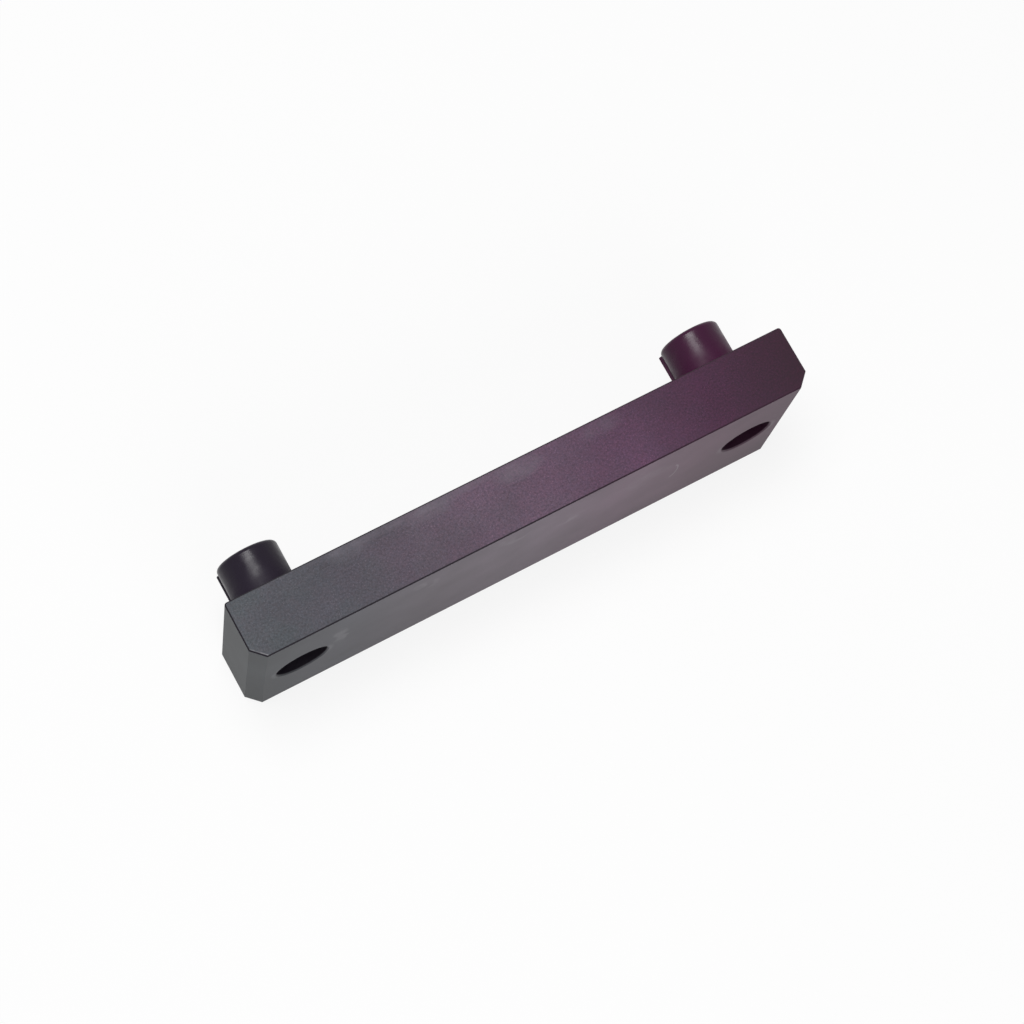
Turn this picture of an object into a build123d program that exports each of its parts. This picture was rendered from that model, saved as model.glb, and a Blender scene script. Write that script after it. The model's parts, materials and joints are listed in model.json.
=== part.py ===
"""Machined mounting block: a bar with two keyed locating bosses, and a counterbored screw hole through each.

Millimetres. The origin is the centre of the back face, midway between the bosses.
+X runs along the bar, +Y out of the back face along the bosses, and +Z up, with the bar on its long edge.
"""

import os

from build123d import *

os.makedirs("parts", exist_ok=True)

# Bar
BAR_LENGTH = 165.0
BAR_HEIGHT = 54.0
BAR_THICKNESS = 17.3
FRONT_CORNER_CHAMFER = 3.5
BACK_CORNER_RADIUS = 0.8
EDGE_BREAK = 0.35

# Bosses on the back face
BOSS_SPACING = 136.0
BOSS_DIAMETER = 17.6
BOSS_LENGTH = 15.0
BOSS_TIP_RADIUS = 1.2

# Key along each boss, turned from +X towards +Z
KEY_ANGLE = 210.0
KEY_HEIGHT = 0.95
KEY_WIDTH = 2.0
KEY_SETBACK = 0.8
KEY_EDGE_RADIUS = 0.4

# Screw hole through each boss, counterbored from the front face
SCREW_HOLE_DIAMETER = 9.0
COUNTERBORE_DIAMETER = 15.0
COUNTERBORE_DEPTH = 9.0
RIM_CHAMFER = 0.4

back_face = Plane.XZ
front_face = Plane.XZ.offset(BAR_THICKNESS)
key_reach = BOSS_DIAMETER / 2 + KEY_HEIGHT
key_length = BOSS_LENGTH - KEY_SETBACK


with BuildPart() as mounting_block:
    # The bar, drawn from above and raised
    with BuildSketch(Plane.XY.offset(-BAR_HEIGHT / 2)) as outline:
        Rectangle(BAR_LENGTH, BAR_THICKNESS, align=(Align.CENTER, Align.MAX))
        chamfer(outline.vertices().group_by(Axis.Y)[0], FRONT_CORNER_CHAMFER)
        fillet(outline.vertices().group_by(Axis.Y)[-1], BACK_CORNER_RADIUS)
    bar = extrude(amount=BAR_HEIGHT)
    long_sides = bar.faces().sort_by(Axis.Z)
    chamfer(long_sides[0].edges() + long_sides[-1].edges(), EDGE_BREAK)

    # Keys, with their ends rounded over
    with BuildSketch(back_face):
        with GridLocations(BOSS_SPACING, 0, 2, 1):
            with PolarLocations(0, 1, start_angle=KEY_ANGLE):
                Rectangle(key_reach, KEY_WIDTH, align=(Align.MIN, Align.CENTER))
    extrude(amount=-key_length)
    key_ends = mounting_block.faces().group_by(Axis.Y)[-1]
    fillet(key_ends.edges(), KEY_EDGE_RADIUS)

    # One boss, turned about its axis, and its twin at the other end
    with BuildSketch() as boss_profile:
        with Locations((BOSS_SPACING / 2, 0)):
            Rectangle(BOSS_DIAMETER / 2, BOSS_LENGTH, align=Align.MIN)
        fillet(boss_profile.vertices().sort_by(Axis.Y)[-2:].sort_by(Axis.X)[-1], BOSS_TIP_RADIUS)
    boss = revolve(axis=Axis((BOSS_SPACING / 2, 0, 0), (0, 1, 0)))
    mirror(boss, about=Plane.YZ)

    # Screw holes, counterbored from the front
    with Locations(front_face):
        with GridLocations(BOSS_SPACING, 0, 2, 1):
            CounterBoreHole(
                radius=SCREW_HOLE_DIAMETER / 2,
                counter_bore_radius=COUNTERBORE_DIAMETER / 2,
                counter_bore_depth=COUNTERBORE_DEPTH,
            )
    front_rims = mounting_block.edges().filter_by(GeomType.CIRCLE).group_by(Axis.Y)[0]
    chamfer(front_rims, RIM_CHAMFER)
    tip_rims = mounting_block.edges().filter_by(GeomType.CIRCLE).group_by(Axis.Y)[-1]
    chamfer(tip_rims.group_by(SortBy.RADIUS)[0], RIM_CHAMFER)

mounting_block.part.label = "mounting_block"
export_step(mounting_block.part, "parts/mounting_block.step")
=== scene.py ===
"""Looks of the machined mounting block: one piece of dark anodised aluminium on a plain pale floor.

Metres, in the CAD frame: +X along the bar, +Y out of the back face along the bosses, +Z up.
"""

import json
import math

import bpy
from mathutils import Matrix, Vector


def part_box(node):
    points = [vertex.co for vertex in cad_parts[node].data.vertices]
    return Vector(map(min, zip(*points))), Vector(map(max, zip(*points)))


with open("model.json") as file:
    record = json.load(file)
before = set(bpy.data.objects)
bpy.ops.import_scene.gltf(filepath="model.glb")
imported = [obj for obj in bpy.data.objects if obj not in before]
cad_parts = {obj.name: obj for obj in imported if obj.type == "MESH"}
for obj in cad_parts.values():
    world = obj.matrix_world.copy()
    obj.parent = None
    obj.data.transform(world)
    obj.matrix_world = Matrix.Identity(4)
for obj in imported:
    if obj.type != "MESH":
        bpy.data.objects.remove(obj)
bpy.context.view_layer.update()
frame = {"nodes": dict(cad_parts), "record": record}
block = frame["nodes"]["mounting_block"]
low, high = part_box("mounting_block")
mounts = {mount["name"]: mount for mount in frame["record"]["mounts"]}

MM = 0.001
hole_x = mounts["right_counterbore"]["pos_m"][0]
hole_radius = mounts["right_counterbore"]["dims"]["r_mm"] * MM
front_y = low.y
# The front corners' chamfer, which the record doesn't hold
FRONT_CHAMFER = 3.5 * MM

# Camera: above, in front and to the left of the block, turned about its own axis
CAMERA_AIM = Vector((0.0006, -0.0068, 0.0))
CAMERA_DISTANCE = 0.7259
CAMERA_HEADING = math.radians(-140.24)
CAMERA_ELEVATION = math.radians(72.52)
CAMERA_ROLL = math.radians(22.22)
CAMERA_LENS = 95.54

# Studio. The white share is how much of the floor is plain white where it shows as background.
FLOOR_SIDE = 6.0
FLOOR_COLOUR = (0.86, 0.86, 0.86)
FLOOR_WHITE_SHARE = 0.85
FILL_STRENGTH = 0.20
# Name, place, width, depth and power in watts
SOFTBOXES = (
    ("overhead_softbox", (-0.13, 0.15, 0.95), 0.48, 0.34, 7.2),
    ("front_softbox", (-0.10, -0.90, 0.60), 0.70, 0.70, 4.0),
)

# Dye colours, linear, at even steps from the left end to the right end: on the blasted long sides, on the
# satin front, back and ends, and on the turned bosses
BLASTED = (
    (0.062, 0.067, 0.076),
    (0.051, 0.049, 0.060),
    (0.073, 0.053, 0.073),
    (0.096, 0.059, 0.090),
    (0.076, 0.036, 0.068),
    (0.041, 0.011, 0.032),
    (0.017, 0.002, 0.010),
)
SATIN = (
    (0.035, 0.039, 0.043),
    (0.062, 0.061, 0.073),
    (0.096, 0.080, 0.098),
    (0.124, 0.096, 0.122),
    (0.116, 0.074, 0.104),
    (0.090, 0.050, 0.074),
    (0.066, 0.036, 0.054),
)
TURNED = (
    (0.006, 0.002, 0.011),
    (0.007, 0.002, 0.011),
    (0.012, 0.002, 0.012),
    (0.032, 0.000, 0.021),
    (0.040, 0.000, 0.025),
)
# Painted shade: the share of the turned colour that is left in the bores and on the edge breaks, darkening
# them
PAINTED_SHADE = 0.45
# The pale colour of the worn marks, and of the painted glints at the counterbores' rims
WORN_AND_GLINT = (0.32, 0.31, 0.33)
HAZE = (0.17, 0.155, 0.185)

# Noises: cells in a metre, octaves, and the strength of each octave next to the one before it
GRAIN = (1700, 3.0, 0.65)
SPECKS = (3000, 1.0, 0.5)
TINT = (1500, 2.0, 0.5)
CLOUDS = (55, 3.0, 0.5)
DRIFT = (120, 2.0, 0.5)
SMEARS = (260, 3.0, 0.6)
RINGS = (2600, 1.0, 0.5)
MOTTLE = (400, 1.5, 0.5)
# Nearly all of a noise lies in this range
NOISE_RANGE = (0.3, 0.7)
NOISE_MIDDLE = 0.5

# Soft steps, from where a mask is 0 to where it is 1, by the distance out of the back face, behind the front
# face, outside a counterbore's wall, and from a boss's root
BOSS_STEP = (0.05 * MM, 0.15 * MM)
FRONT_STEP = (0.10 * MM, 0.02 * MM)
BORE_STEP = (0.15 * MM, 0.0)
ROOT_STEP = (12.0 * MM, 2.0 * MM)
# How far a long side faces up or down, from 0 to 1
LONG_SIDE_UPWARD = (0.90, 0.98)
# An edge break faces up or down by this much, and is this far from the nearer hole's axis
BREAK_UPWARD = (0.4, 0.6, 0.80, 0.88)
BREAK_FROM_AXIS = (9.5 * MM, 10.5 * MM)
# Steps in the value of a noise
TINT_STEP = (0.4, 0.6)
DRIFT_STEP = (0.35, 0.65)
SMEAR_STEP = (0.35, 0.65)
SPECK_STEP = (0.62, 0.72)

# How much each noise changes the colour
GRAIN_SWING = (0.66, 1.34)
SPECK_GAIN = 0.80
TINTS = ((0.97, 1.0, 1.03), (1.03, 0.99, 1.0))
DRIFTS = ((0.97, 1.01, 0.99), (1.03, 0.98, 1.01))
CLOUD_SWING = (0.85, 1.15)
# Painted shade and light: the satin faces get darker towards the bottom and lighter towards the top
PAINTED_HEIGHT_SHADE = (0.84, 1.16)

# Soft pale marks: middle along two axes, half-size along them, in millimetres, and strength
FRONT_MARKS = (
    (-56.5, 8.5, 3.0, 9.0, 0.20),
    (-31.0, 16.0, 4.0, 3.0, 0.20),
    (-6.5, 18.0, 5.0, 3.0, 0.18),
    (11.5, 9.0, 5.0, 4.0, 0.18),
    (33.0, 12.0, 9.0, 8.0, 0.10),
)
TOP_MARKS = (
    (-48.0, -2.0, 7.0, 3.0, 0.20),
    (-25.0, -2.5, 9.0, 3.0, 0.20),
    (1.0, -3.0, 9.0, 3.5, 0.32),
    (26.0, -2.5, 8.0, 3.0, 0.16),
    (-30.0, -1.0, 40.0, 1.8, 0.22),
)
# How far noise pulls the front marks out of shape
MARK_WANDER = 18.0 * MM
# How much of a mark, of the haze and of the rubbed line is left where nothing and where all is smeared
MARK_SMEAR = (0.3, 1.0)
HAZE_SMEAR = (0.5, 1.0)
RUBBED_SMEAR = (0.10, 0.55)

# An arc rubbed into the front face: the middle of its oval in X and Z, and half-size along them, in
# millimetres. Its band is in values of Nodes.reach, and it fades in to the right of the middle.
RUBBED_ARC = (43.4, 3.8, 1.9, 5.5)
ARC_BAND = (0.7, 0.95, 1.1, 1.4)
ARC_FADE = 1.0 * MM
ARC_STRENGTH = 0.30
# A painted glint: a pale rim round each counterbore, by the distance outside its wall, that fades above and
# below mid-height
RIM_BAND = (0.2 * MM, 0.6 * MM, 0.8 * MM, 2.2 * MM)
RIM_HEIGHT = (6.0 * MM, 1.5 * MM)
RIM_STRENGTH = 0.16
# A line rubbed along the top's left front corner, by how much X plus Y is past the chamfer's edge
RUBBED_BAND = (0.35 * MM, 0.6 * MM, 0.75 * MM, 1.0 * MM)

# How rough each surface is, and how much the mottle changes that on the bosses
BLASTED_ROUGHNESS = 0.60
SATIN_ROUGHNESS = 0.55
TIP_ROUGHNESS = 0.30
ROOT_ROUGHNESS = 0.62
MOTTLE_SWING = (-0.05, 0.05)
SPECULAR_LEVEL = 0.23

# Relief
SATIN_RELIEF = 0.04
BLASTED_RELIEF = 0.24
TURNED_RELIEF = 1.0
RELIEF_DEPTH = 0.08 * MM
RING_SHARE = 0.3


class Nodes:
    """The node tree of a material or world, with short calls for the nodes that this script uses."""

    def __init__(self, owner):
        owner.use_nodes = True
        self.tree = owner.node_tree
        self.tree.nodes.clear()

    def add(self, kind, **settings):
        node = self.tree.nodes.new(kind)
        for name, value in settings.items():
            setattr(node, name, value)
        return node

    def feed(self, socket, source):
        """Links source to the socket where it is an output, and otherwise sets it as a value."""
        if isinstance(source, bpy.types.NodeSocket):
            self.tree.links.new(source, socket)
        else:
            socket.default_value = source

    def math(self, operation, a, b=0.0):
        node = self.add("ShaderNodeMath", operation=operation)
        self.feed(node.inputs[0], a)
        self.feed(node.inputs[1], b)
        return node.outputs[0]

    def times(self, first, *others):
        """The product of the numbers."""
        product = first
        for number in others:
            product = self.math("MULTIPLY", product, number)
        return product

    def ease(self, value, start, end):
        """0 at start, 1 at end, smooth between."""
        node = self.add("ShaderNodeMapRange", interpolation_type="SMOOTHSTEP")
        self.feed(node.inputs["Value"], value)
        node.inputs["From Min"].default_value = start
        node.inputs["From Max"].default_value = end
        return node.outputs["Result"]

    def band(self, value, rise_start, rise_end, fall_start, fall_end):
        """Rises from 0 to 1 and falls back to 0, smooth between."""
        return self.times(self.ease(value, rise_start, rise_end), self.ease(value, fall_end, fall_start))

    def remap(self, value, from_low, from_high, to_low, to_high):
        """The value, moved evenly from one range to the other and kept inside it."""
        node = self.add("ShaderNodeMapRange")
        self.feed(node.inputs["Value"], value)
        node.inputs["From Min"].default_value = from_low
        node.inputs["From Max"].default_value = from_high
        node.inputs["To Min"].default_value = to_low
        node.inputs["To Max"].default_value = to_high
        return node.outputs["Result"]

    def reach(self, u, v, middle_u, middle_v, half_u, half_v):
        """0 at the middle of an oval on the u, v plane and 1 on its rim, growing as the distance squared."""
        across = self.math("DIVIDE", self.math("SUBTRACT", u, middle_u * MM), half_u * MM)
        up = self.math("DIVIDE", self.math("SUBTRACT", v, middle_v * MM), half_v * MM)
        return self.math("ADD", self.times(across, across), self.times(up, up))

    def patches(self, u, v, marks):
        """The sum of soft ovals on the u, v plane."""
        total = 0.0
        for *oval, strength in marks:
            patch = self.ease(self.reach(u, v, *oval), 1.0, 0.0)
            total = self.math("ADD", self.times(patch, strength), total)
        return total

    def mix(self, factor, a, b, blend_type="MIX"):
        """A colour that goes from a to b with the factor."""
        node = self.add("ShaderNodeMix", data_type="RGBA", blend_type=blend_type)
        self.feed(node.inputs[0], factor)
        for socket, source in ((node.inputs[6], a), (node.inputs[7], b)):
            self.feed(socket, (*source, 1.0) if isinstance(source, tuple) else source)
        return node.outputs[2]

    def tinted(self, colour, *tints):
        """The colour times each tint, which is a colour or a number."""
        for tint in tints:
            colour = self.mix(1.0, colour, tint, "MULTIPLY")
        return colour

    def blend(self, factor, a, b):
        """A number that goes from a to b with the factor."""
        node = self.add("ShaderNodeMix", data_type="FLOAT")
        self.feed(node.inputs[0], factor)
        self.feed(node.inputs[2], a)
        self.feed(node.inputs[3], b)
        return node.outputs[0]

    def noise(self, place, scale, detail, roughness):
        node = self.add("ShaderNodeTexNoise")
        self.feed(node.inputs["Vector"], place)
        node.inputs["Scale"].default_value = scale
        node.inputs["Detail"].default_value = detail
        node.inputs["Roughness"].default_value = roughness
        return node.outputs["Fac"]

    def along(self, fraction, colours):
        """A colour that changes evenly through the colours."""
        node = self.add("ShaderNodeValToRGB")
        ramp = node.color_ramp
        for step in range(1, len(colours) - 1):
            ramp.elements.new(step / (len(colours) - 1))
        for element, colour in zip(ramp.elements, colours):
            element.color = (*colour, 1.0)
        self.feed(node.inputs["Fac"], fraction)
        return node.outputs["Color"]

    def background_rays(self):
        """1 on the rays that show the background: from the camera, off a glossy surface or through glass."""
        path = self.add("ShaderNodeLightPath")
        direct = self.math("MAXIMUM", path.outputs["Is Camera Ray"], path.outputs["Is Glossy Ray"])
        return self.math("MAXIMUM", direct, path.outputs["Is Transmission Ray"])


class BlockNodes(Nodes):
    """The block's nodes, with its coordinates, a mask for each kind of surface and the shared noises."""

    def __init__(self, material):
        super().__init__(material)
        coordinates = self.add("ShaderNodeTexCoord")
        self.place = coordinates.outputs["Object"]
        position = self.add("ShaderNodeSeparateXYZ")
        self.feed(position.inputs[0], self.place)
        self.x, self.y, self.z = position.outputs
        normal = self.add("ShaderNodeSeparateXYZ")
        self.feed(normal.inputs[0], coordinates.outputs["Normal"])
        upward = self.math("ABSOLUTE", normal.outputs["Z"])

        # The distance from the nearer hole's axis
        off_axis = self.math("SUBTRACT", self.math("ABSOLUTE", self.x), hole_x)
        squares = self.math("ADD", self.times(off_axis, off_axis), self.times(self.z, self.z))
        self.from_axis = self.math("SQRT", squares)

        self.on_boss = self.ease(self.y, *BOSS_STEP)
        behind, on = (front_y + depth for depth in FRONT_STEP)
        self.on_front = self.ease(self.y, behind, on)
        outside, wall = (hole_radius + gap for gap in BORE_STEP)
        self.in_bore = self.times(self.ease(self.from_axis, outside, wall), self.ease(self.y, on, behind))
        self.on_long_side = self.ease(upward, *LONG_SIDE_UPWARD)
        clear_of_hole = self.ease(self.from_axis, *BREAK_FROM_AXIS)
        self.on_break = self.times(self.band(upward, *BREAK_UPWARD), clear_of_hole)

        self.grain = self.noise(self.place, *GRAIN)
        self.drift = self.noise(self.place, *DRIFT)
        self.mottle = self.noise(self.place, *MOTTLE)


def dye_and_painted_shade(n):
    """The colour of the unworn finish, which changes along the bar, with painted shade and light: the satin
    faces darker at the bottom and lighter at the top, and the bores and edge breaks darkened.
    """
    fraction = n.remap(n.x, low.x, high.x, 0.0, 1.0)
    clouds = n.remap(n.noise(n.place, *CLOUDS), *NOISE_RANGE, *CLOUD_SWING)

    specks = n.ease(n.noise(n.place, *SPECKS), *SPECK_STEP)
    speckle = n.math("ADD", n.remap(n.grain, *NOISE_RANGE, *GRAIN_SWING), n.times(specks, SPECK_GAIN))
    tints = n.mix(n.ease(n.noise(n.place, *TINT), *TINT_STEP), *TINTS)
    drifts = n.mix(n.ease(n.drift, *DRIFT_STEP), *DRIFTS)
    blasted = n.tinted(n.along(fraction, BLASTED), tints, drifts, speckle, clouds)

    # Painted shade and light on the satin: darker towards the bottom, lighter towards the top
    satin = n.tinted(n.along(fraction, SATIN), clouds, n.remap(n.z, low.z, high.z, *PAINTED_HEIGHT_SHADE))
    turned = n.along(fraction, TURNED)
    colour = n.mix(n.on_long_side, satin, blasted)
    colour = n.mix(n.on_boss, colour, turned)
    # Painted shade: the bores and the edge breaks get a darkened share of the turned colour
    return n.mix(n.math("MAXIMUM", n.in_bore, n.on_break), colour, n.tinted(turned, (PAINTED_SHADE,) * 3))


def wear_and_glints(n, colour):
    """The colour with worn marks, painted glints at the rims and an arc on the front, haze along the top,
    and a rubbed corner.
    """
    smears = n.ease(n.noise(n.place, *SMEARS), *SMEAR_STEP)

    wander = n.times(n.math("SUBTRACT", n.drift, NOISE_MIDDLE), MARK_WANDER)
    marks = n.patches(n.math("ADD", n.x, wander), n.math("SUBTRACT", n.z, wander), FRONT_MARKS)
    # Painted glints: pale rims at the sides of each counterbore
    rim = n.band(n.from_axis, *(hole_radius + gap for gap in RIM_BAND))
    rim = n.times(rim, n.ease(n.math("ABSOLUTE", n.z), *RIM_HEIGHT), RIM_STRENGTH)
    marks = n.times(n.math("ADD", marks, rim), n.remap(smears, 0.0, 1.0, *MARK_SMEAR))
    arc_middle = RUBBED_ARC[0] * MM
    arc = n.band(n.reach(n.x, n.z, *RUBBED_ARC), *ARC_BAND)
    arc = n.times(arc, n.ease(n.x, arc_middle, arc_middle + ARC_FADE), ARC_STRENGTH)
    marks = n.times(n.math("ADD", marks, arc), n.on_front)

    haze = n.times(n.patches(n.x, n.y, TOP_MARKS), n.remap(smears, 0.0, 1.0, *HAZE_SMEAR), n.on_long_side)

    past_chamfer = n.math("SUBTRACT", n.math("ADD", n.x, n.y), low.x + low.y + FRONT_CHAMFER)
    rubbed = n.band(past_chamfer, *RUBBED_BAND)
    rubbed = n.times(rubbed, n.on_long_side, n.remap(smears, 0.0, 1.0, *RUBBED_SMEAR))

    for amount, shade in ((marks, WORN_AND_GLINT), (haze, HAZE), (rubbed, WORN_AND_GLINT)):
        colour = n.mix(amount, colour, shade)
    return colour


def roughness(n):
    """Even on the bar, and on the bosses uneven and smoother towards the tips."""
    on_bar = n.blend(n.on_long_side, SATIN_ROUGHNESS, BLASTED_ROUGHNESS)
    on_bosses = n.blend(n.ease(n.y, *ROOT_STEP), TIP_ROUGHNESS, ROOT_ROUGHNESS)
    uneven = n.times(n.remap(n.mottle, *NOISE_RANGE, *MOTTLE_SWING), n.on_boss)
    return n.math("ADD", n.blend(n.on_boss, on_bar, on_bosses), uneven)


def relief(n):
    """Blasted pits on the bar, and fine turning rings on the bosses and in the holes."""
    ring_place = n.add("ShaderNodeCombineXYZ")
    n.feed(ring_place.inputs["Y"], n.y)
    rings = n.noise(ring_place.outputs[0], *RINGS)
    turned = n.math("MAXIMUM", n.on_boss, n.in_bore)
    height = n.blend(turned, n.grain, n.math("ADD", n.mottle, n.times(rings, RING_SHARE)))
    strength = n.blend(turned, n.blend(n.on_long_side, SATIN_RELIEF, BLASTED_RELIEF), TURNED_RELIEF)
    bump = n.add("ShaderNodeBump")
    n.feed(bump.inputs["Height"], height)
    n.feed(bump.inputs["Strength"], strength)
    bump.inputs["Distance"].default_value = RELIEF_DEPTH
    return bump.outputs["Normal"]


def anodised_finish():
    """Blasted long sides, satin faces, smoother turned bosses, and edge breaks and bores darkened with
    painted shade.
    """
    material = bpy.data.materials.new("anodised_body")
    n = BlockNodes(material)
    shader = n.add("ShaderNodeBsdfPrincipled")
    n.feed(shader.inputs["Base Color"], wear_and_glints(n, dye_and_painted_shade(n)))
    n.feed(shader.inputs["Roughness"], roughness(n))
    n.feed(shader.inputs["Normal"], relief(n))
    shader.inputs["Metallic"].default_value = 0.0
    shader.inputs["IOR"].default_value = 1.5
    shader.inputs["Specular IOR Level"].default_value = SPECULAR_LEVEL
    output = n.add("ShaderNodeOutputMaterial")
    n.feed(output.inputs["Surface"], shader.outputs[0])
    return material


def pale_floor():
    """A pale floor that keeps the shadow and looks near white to the camera and in reflections."""
    material = bpy.data.materials.new("floor_paint")
    n = Nodes(material)
    diffuse = n.add("ShaderNodeBsdfDiffuse")
    diffuse.inputs["Color"].default_value = (*FLOOR_COLOUR, 1.0)
    glow = n.add("ShaderNodeEmission")
    mixed = n.add("ShaderNodeMixShader")
    n.feed(mixed.inputs[0], n.times(n.background_rays(), FLOOR_WHITE_SHARE))
    n.feed(mixed.inputs[1], diffuse.outputs[0])
    n.feed(mixed.inputs[2], glow.outputs[0])
    output = n.add("ShaderNodeOutputMaterial")
    n.feed(output.inputs["Surface"], mixed.outputs[0])
    return material


def lay_floor():
    bpy.ops.mesh.primitive_plane_add(size=FLOOR_SIDE, location=(0.0, 0.0, low.z))
    floor = bpy.context.object
    floor.name = "floor"
    floor.data.materials.append(pale_floor())


def light_world():
    """White to the camera and in reflections, and a soft even fill on the object."""
    world = bpy.data.worlds.new("studio")
    bpy.context.scene.world = world
    n = Nodes(world)
    background = n.add("ShaderNodeBackground")
    background.inputs["Color"].default_value = (1.0, 1.0, 1.0, 1.0)
    n.feed(background.inputs["Strength"], n.blend(n.background_rays(), FILL_STRENGTH, 1.0))
    output = n.add("ShaderNodeOutputWorld")
    n.feed(output.inputs["Surface"], background.outputs[0])


def add_softbox(name, place, width, depth, power):
    """A rectangular area lamp at place, turned to the block."""
    data = bpy.data.lights.new(name, "AREA")
    data.shape = "RECTANGLE"
    data.size = width
    data.size_y = depth
    data.energy = power
    lamp = bpy.data.objects.new(name, data)
    bpy.context.scene.collection.objects.link(lamp)
    lamp.location = place
    lamp.rotation_euler = (-Vector(place)).to_track_quat("-Z", "Y").to_euler()


def place_camera():
    data = bpy.data.cameras.new("camera")
    data.lens = CAMERA_LENS
    camera = bpy.data.objects.new("camera", data)
    bpy.context.scene.collection.objects.link(camera)
    level = math.cos(CAMERA_ELEVATION)
    outward = Vector((
        level * math.cos(CAMERA_HEADING),
        level * math.sin(CAMERA_HEADING),
        math.sin(CAMERA_ELEVATION),
    ))
    level_right = Vector((0.0, 0.0, 1.0)).cross(outward).normalized()
    right = Matrix.Rotation(CAMERA_ROLL, 3, outward) @ level_right
    up = outward.cross(right)
    turn = Matrix((right, up, outward)).transposed().to_4x4()
    camera.matrix_world = Matrix.Translation(CAMERA_AIM + CAMERA_DISTANCE * outward) @ turn
    bpy.context.scene.camera = camera


for slot in block.material_slots:
    slot.link = "OBJECT"
    slot.material = anodised_finish()

lay_floor()
light_world()
for softbox in SOFTBOXES:
    add_softbox(*softbox)
place_camera()

view_settings = bpy.context.scene.view_settings
view_settings.view_transform = "Standard"
